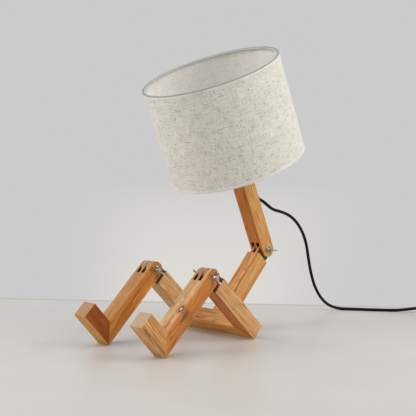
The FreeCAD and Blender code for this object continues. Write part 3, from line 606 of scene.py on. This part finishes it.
cap_low = 0.1372
crest_spacing = 0.0036
screw_profile = [(cap_low, 0), (cap_low, 0.0036), (cap_low + 0.0012, 0.0044), (cap_low + 0.0022, 0.0046),
                 (cap_low + 0.0048, 0.0108), (cap_low + 0.0052, 0.0118)]
screw_profile += [(cap_low + 0.0056 + step * 0.0006, 0.0121) for step in range(29)]
screw_profile += [(cap_low + 0.0234, 0.0128), (cap_low + 0.026, 0.013), (cap_low + 0.0261, 0)]


def screw_thread(along, angle):
    """The rolled screw thread, 3.6 mm from crest to crest."""
    if not cap_low + 0.0055 < along < cap_low + 0.023:
        return 0
    return 0.001 * (0.5 + 0.5 * math.cos(2 * math.pi * along / crest_spacing - angle))


bulb_cap = turned("bulb_screw_cap", elbow, neck_dir, screw_profile, plated_brass, 72,
                  screw_thread)
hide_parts("bulb_cap")
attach(bulb_cap, "neck")

# Shade frame: a ring of 3 mm wire in each edge of the drum and a spider of three arms welded to a
# flat ring that sits on the holder's collar. All of it is dipped in white paint, and the top ring's
# paint is drawn grey as painted shade inside the drum's top edge.


def dipped_wire(name, thin_paint, paint):
    """Wire dipped in satin paint: the paint is thinner and darker between its runs, 4 mm apart."""
    material, tree, shader = new_material(name)
    place = node(tree, "TexCoord").outputs["Object"]
    runs = node(tree, "TexNoise", {"Vector": place, "Scale": 260, "Detail": 3}).outputs["Fac"]
    colour = node(tree, "ValToRGB", {"Fac": runs}, stops=[(0.3, thin_paint), (0.65, paint)]).outputs[0]
    connect(tree, colour, shader, "Base Color")
    rough = node(tree, "MapRange", {"Value": runs, "To Min": 0.3, "To Max": 0.5}).outputs[0]
    connect(tree, rough, shader, "Roughness")
    relief = node(tree, "Bump", {"Strength": 0.4, "Distance": 0.00008, "Height": runs})
    connect(tree, relief.outputs[0], shader, "Normal")
    return material


white_wire = dipped_wire("white_painted_wire", "#d9d7d0", "#ebe9e3")
finish("shade_spider", white_wire)
finish("shade_bottom_ring", white_wire)
# The top ring is drawn grey: painted shade inside the drum's top edge
finish("shade_top_ring", dipped_wire("top_ring_painted_shade", "#a5a9a5", "#b9bdb9"))

# Shade: undyed linen stretched round a sheet of white styrene and glued to it, lapped 12 mm at the
# back. A folded tape of finer, whiter linen binds both edges; the top one's fold is drawn grey.

shade_low = 0.1466
shade_high = 0.2984
shade_middle = 0.2225
cloth_outer = 0.1054
cloth_inner = 0.1049
lap_angle = math.radians(135)
lap_width = 0.012


def shade_tube(name, profile, material, swell=None):
    """A piece turned about the shade's axis, with its cloth's own coordinates in metres for the weave."""
    piece = turned(name, elbow, neck_dir, profile, material, 240, swell)
    across = neck_dir.cross(side).normalized()
    third = neck_dir.cross(across)
    layer = piece.data.uv_layers.new(name="cloth")
    for polygon in piece.data.polygons:
        middle = polygon.center - elbow
        middle_angle = math.atan2(middle.dot(third), middle.dot(across))
        for corner in polygon.loop_indices:
            spot = piece.data.vertices[piece.data.loops[corner].vertex_index].co - elbow
            angle = math.atan2(spot.dot(third), spot.dot(across))
            angle += 2 * math.pi * round((middle_angle - angle) / (2 * math.pi))
            layer.data[corner].uv = (angle * cloth_outer, spot.dot(neck_dir))
    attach(piece, "neck")
    return piece


def linen(name, pale, dark, fleck_share, contrast, edge_tint=0.0):
    """Plain-woven linen: uneven yarns that run both ways, slubs, and brown flecks of straw.

    The yarns are 0.5 mm apart. They are drawn about 1.1 mm apart, so that they show. contrast
    scales the yarns and flecks, and the edge tint greys the last 2 mm below the drum's top edge.
    """
    material, tree, shader = new_material(name)
    cloth = node(tree, "UVMap", uv_map="cloth").outputs[0]
    threads = node(tree, "Mapping", {"Vector": cloth, "Scale": (1000, 1000, 1)}).outputs[0]
    weft = node(tree, "Mapping", {"Vector": threads, "Scale": (0.07, 1.15, 1)})
    warp = node(tree, "Mapping", {"Vector": threads, "Location": (71, 13, 0), "Scale": (1.15, 0.07, 1)})
    weft_noise = node(tree, "TexNoise", {"Vector": weft.outputs[0], "Scale": 1, "Detail": 2}).outputs["Fac"]
    warp_noise = node(tree, "TexNoise", {"Vector": warp.outputs[0], "Scale": 1, "Detail": 2}).outputs["Fac"]
    slub_weft = node(tree, "MapRange", {"Value": weft_noise, "From Min": 0.53, "From Max": 0.7}).outputs[0]
    slub_warp = node(tree, "MapRange", {"Value": warp_noise, "From Min": 0.55, "From Max": 0.72}).outputs[0]
    slubs = node(tree, "Math", {0: slub_weft, 1: slub_warp}, operation="MAXIMUM").outputs[0]
    cloudy = node(tree, "TexNoise", {"Vector": threads, "Scale": 0.045, "Detail": 3}).outputs["Fac"]
    colour = node(tree, "ValToRGB", {"Fac": cloudy}, stops=[(0.3, dark), (0.7, pale)]).outputs[0]
    slub_tone = node(tree, "Math", {0: slubs, 1: 0.6 * contrast}, operation="MULTIPLY").outputs[0]
    colour = node(tree, "Mix", {0: slub_tone, 6: colour, 7: linear("#93897a")}, data_type="RGBA").outputs[2]
    fleck_cells = node(tree, "TexVoronoi", {"Vector": threads, "Scale": 0.23, "Randomness": 1.0})
    fleck_pick = node(tree, "SeparateColor", {0: fleck_cells.outputs["Color"]})
    chosen = node(tree, "Math", {0: fleck_pick.outputs[0], 1: 1 - fleck_share},
                  operation="GREATER_THAN").outputs[0]
    small = node(tree, "MapRange", {"Value": fleck_cells.outputs["Distance"], "From Min": 0.1,
                                    "From Max": 0.24, "To Min": 0.8, "To Max": 0}).outputs[0]
    flecks = node(tree, "Math", {0: chosen, 1: small}, operation="MULTIPLY").outputs[0]
    strengths = node(tree, "MapRange", {"Value": fleck_pick.outputs[1], "To Min": 0.3 * contrast,
                                        "To Max": contrast}).outputs[0]
    flecks = node(tree, "Math", {0: flecks, 1: strengths}, operation="MULTIPLY").outputs[0]
    colour = node(tree, "Mix", {0: flecks, 6: colour, 7: linear("#5a4632")}, data_type="RGBA").outputs[2]
    from_middle = node(tree, "SeparateXYZ", {0: cloth}).outputs["Y"]
    from_middle = node(tree, "Math", {0: from_middle, 1: shade_middle}, operation="SUBTRACT").outputs[0]
    fold = node(tree, "MapRange", {"Value": from_middle, "From Min": 0.0742, "From Max": 0.0757,
                                   "To Min": 0, "To Max": edge_tint}).outputs[0]
    colour = node(tree, "Mix", {0: fold, 6: colour, 7: linear("#858a87")}, data_type="RGBA").outputs[2]
    connect(tree, colour, shader, "Base Color")
    crossing = node(tree, "TexChecker", {"Vector": threads, "Scale": 0.9}).outputs["Fac"]
    yarn_height = node(tree, "Math", {0: crossing, 1: slubs}, operation="ADD").outputs[0]
    relief = node(tree, "Bump", {"Strength": 0.45, "Distance": 0.0002, "Height": yarn_height})
    connect(tree, relief.outputs[0], shader, "Normal")
    shader.inputs["Roughness"].default_value = 0.85
    shader.inputs["Sheen Weight"].default_value = 0.2
    shader.inputs["Specular IOR Level"].default_value = 0.2
    return material


def lap(along, angle):
    """Where the cloth's end laps over its start it stands 0.5 mm proud."""
    away = abs((angle - lap_angle + math.pi) % (2 * math.pi) - math.pi) * cloth_outer
    return 0.0005 * max(0, min(1, (lap_width / 2 - away) / 0.001))


undyed_linen = linen("undyed_linen", "#f3f0e7", "#eae5da", 0.5, 1.15)
cloth_profile = [(shade_low + (shade_high - shade_low) * step / 12, cloth_outer) for step in range(13)]
cloth_profile += [(shade_high, cloth_inner), (shade_low, cloth_inner)]
shade_cloth = shade_tube("shade_linen", cloth_profile, undyed_linen, lap)

# White styrene sheet: smooth and pale, and the cloth shows faintly through it
styrene = linen("white_styrene_liner", "#f6f4ef", "#eeebe4", 0.36, 0.6)
liner_profile = [(shade_low, 0.1048), (shade_high, 0.1048), (shade_high, 0.1042), (shade_low, 0.1042)]
shade_liner = shade_tube("shade_styrene_liner", liner_profile, styrene)
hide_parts("shade_drum")

tape_linen = linen("linen_edge_tape", "#f6f5f0", "#eeece5", 0.1, 0.4, edge_tint=0.92)
for name, node_name, edge, inward in (("shade_top_tape", "shade_top_hem", 0.299, -1),
                                      ("shade_bottom_tape", "shade_bottom_hem", 0.146, 1)):
    tape_profile = [(edge + inward * 0.0045, 0.1055), (edge + inward * 0.0044, 0.1058),
                    (edge + inward * 0.0012, 0.106), (edge + inward * 0.0003, 0.1057),
                    (edge, 0.1051), (edge, 0.1045), (edge + inward * 0.0003, 0.1039),
                    (edge + inward * 0.0012, 0.1036), (edge + inward * 0.0044, 0.1037),
                    (edge + inward * 0.0045, 0.1041), (edge + inward * 0.0007, 0.1041),
                    (edge + inward * 0.0006, 0.1055)]
    tape = shade_tube(name, tape_profile, tape_linen)
    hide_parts(node_name)

# Inline switch: two halves of a black moulded housing, with a rocker that tips on two pins. The
# seam between the halves runs round at mid height.

# Moulded ABS: dark grey rather than black, with a softer gloss than the holder's
switch_plastic = soft_plastic("black_abs_moulding", "#1b1b1b", "#2b2a29", 0.46, 0.0005, 0.00003)
for piece in ("switch_lower", "switch_upper", "switch_rocker"):
    finish(piece, switch_plastic)

# Plug: a flat two-pin plug of the switch's black plastic, moulded onto the cord's end. Its round
# pins are turned from brass and nickel-plated.

finish("plug_body", switch_plastic)
finish("plug_pins", plated_brass)

# Studio: a pale satin table with its back edge behind the lamp and a pale wall beyond it, a broad
# soft light over the lamp and on either side, and even light all round.

surface_mesh = bpy.data.meshes.new("table_surface")
surface_mesh.from_pydata([(-12, -12, 0), (12, -12, 0), (12, 12, 0), (-12, 12, 0)], [], [(0, 1, 2, 3)])
surface = bpy.data.objects.new("table_surface", surface_mesh)
bpy.context.scene.collection.objects.link(surface)
painted, tree, shader = new_material("satin_white_paint")
place = node(tree, "TexCoord").outputs["Object"]
# Metres along the table's back edge and beyond it
back_edge_point = (0.219, 0.198, 0)
back_edge_turn = math.radians(-54.3)
edge_place = node(tree, "Mapping", {"Vector": place, "Location": back_edge_point,
                                    "Rotation": (0, 0, back_edge_turn)}, vector_type="TEXTURE").outputs[0]
edge_parts = node(tree, "SeparateXYZ", {0: edge_place})
along_edge = edge_parts.outputs["X"]
past_edge = edge_parts.outputs["Y"]
beyond = node(tree, "MapRange", {"Value": past_edge, "From Min": -0.003, "From Max": 0.003}).outputs[0]
# The wall carries a soft fan of light behind the lamp, widest far back
fan_middle = node(tree, "Math", {0: past_edge, 1: -0.141, 2: -0.02}, operation="MULTIPLY_ADD").outputs[0]
fan_width = node(tree, "Math", {0: past_edge, 1: 0.13, 2: 0.19}, operation="MULTIPLY_ADD").outputs[0]
off_fan = node(tree, "Math", {0: along_edge, 1: fan_middle}, operation="SUBTRACT").outputs[0]
off_fan = node(tree, "Math", {0: off_fan, 1: fan_width}, operation="DIVIDE").outputs[0]
off_fan = node(tree, "Math", {0: off_fan}, operation="ABSOLUTE").outputs[0]
fan_glow = node(tree, "MapRange", {"Value": off_fan, "From Min": 0.15, "From Max": 1.6,
                                   "To Min": 1, "To Max": 0}, interpolation_type="SMOOTHERSTEP").outputs[0]
fan_fade = node(tree, "MapRange", {"Value": past_edge, "From Min": 0.2, "From Max": 5, "To Min": 1,
                                   "To Max": 0}).outputs[0]
glow = node(tree, "Math", {0: fan_glow, 1: fan_fade}, operation="MULTIPLY").outputs[0]
wall_colour = linear("#cbcbcb")
wall_tone = node(tree, "Mix", {0: glow, 6: wall_colour, 7: linear("#dedbd6")}, data_type="RGBA").outputs[2]
# A thin line of shadow lies under the edge
line = node(tree, "MapRange", {"Value": node(tree, "Math", {0: past_edge}, operation="ABSOLUTE").outputs[0],
                               "From Min": 0.002, "From Max": 0.011, "To Min": 0.8, "To Max": 0}).outputs[0]
paint_tone = node(tree, "TexNoise", {"Vector": place, "Scale": 9, "Detail": 3}).outputs["Fac"]
paint_tone = node(tree, "ValToRGB", {"Fac": paint_tone},
                  stops=[(0.3, "#c4c1bc"), (0.7, "#c8c5c0")]).outputs[0]
connect(tree, paint_tone, shader, "Base Color")
shader.inputs["Roughness"].default_value = 0.36
from_lamp = node(tree, "VectorMath", {0: place}, operation="LENGTH").outputs["Value"]
far_off = node(tree, "MapRange", {"Value": from_lamp, "From Min": 0.6, "From Max": 1.5},
               interpolation_type="SMOOTHERSTEP").outputs[0]
# The far table takes the wall's tone, so that no horizon shows
farthest = node(tree, "MapRange", {"Value": from_lamp, "From Min": 2, "From Max": 8}).outputs[0]
table_tone = node(tree, "Mix", {0: farthest, 6: linear("#cfccc9"), 7: wall_colour},
                  data_type="RGBA").outputs[2]
far_tone = node(tree, "Mix", {0: beyond, 6: table_tone, 7: wall_tone}, data_type="RGBA").outputs[2]
far_tone = node(tree, "Mix", {0: line, 6: far_tone, 7: linear("#b2afab")}, data_type="RGBA").outputs[2]
plain = node(tree, "Math", {0: beyond, 1: far_off}, operation="MAXIMUM").outputs[0]
plain = node(tree, "Math", {0: plain, 1: line}, operation="MAXIMUM").outputs[0]
seen_floor = node(tree, "Math", {0: plain, 1: node(tree, "LightPath").outputs["Is Camera Ray"]},
                  operation="MULTIPLY").outputs[0]
flat_tone = node(tree, "Emission", {"Color": far_tone})
floor_mix = node(tree, "MixShader", {0: seen_floor, 1: shader.outputs[0], 2: flat_tone.outputs[0]})
tree.links.new(floor_mix.outputs[0], tree.nodes["Material Output"].inputs["Surface"])
surface_mesh.materials.append(painted)

world = bpy.data.worlds.new("studio_air")
bpy.context.scene.world = world
world.use_nodes = True
tree = world.node_tree
rays = node(tree, "LightPath")
seen = node(tree, "Math", {0: rays.outputs["Is Camera Ray"], 1: rays.outputs["Is Glossy Ray"]},
            operation="MAXIMUM").outputs[0]
seen = node(tree, "Math", {0: seen, 1: rays.outputs["Is Transmission Ray"]}, operation="MAXIMUM").outputs[0]
fill = tree.nodes["Background"]
fill.inputs["Color"].default_value = linear("#f4f5f7")
fill.inputs["Strength"].default_value = 0.6
wall = node(tree, "Background", {"Color": wall_colour, "Strength": 1})
mixed = node(tree, "MixShader", {0: seen, 1: fill.outputs[0], 2: wall.outputs[0]})
tree.links.new(mixed.outputs[0], tree.nodes["World Output"].inputs["Surface"])

for name, spot, size, power, tone in (("softbox_left", (-1.3, 0.9, 1.2), 1.1, 15.5, "#ffffff"),
                                      ("softbox_right", (0.8, -1.55, 1.1), 1.1, 15.5, "#fffcf8"),
                                      ("softbox_above", (0.1, -0.1, 1.7), 1.2, 7.5, "#ffffff")):
    lamp = bpy.data.lights.new(name, "AREA")
    lamp.shape = "SQUARE"
    lamp.size = size
    lamp.energy = power
    lamp.color = linear(tone)[:3]
    softbox = bpy.data.objects.new(name, lamp)
    softbox.location = spot
    softbox.rotation_euler = (Vector((0.03, 0, 0.2)) - Vector(spot)).to_track_quat("-Z", "Y").to_euler()
    bpy.context.scene.collection.objects.link(softbox)

# A long lens about 1.4 m from the lamp, a little below the shade's middle
lens = bpy.data.cameras.new("studio_camera")
lens.sensor_width = 36
lens.lens = 83.08
camera = bpy.data.objects.new("studio_camera", lens)
camera.location = (-0.99719, -1.00885, 0.28911)
camera.rotation_euler = (math.radians(86.09), math.radians(0.28), math.radians(-45.17))
bpy.context.scene.collection.objects.link(camera)
bpy.context.scene.camera = camera
bpy.context.scene.view_settings.view_transform = "Standard"
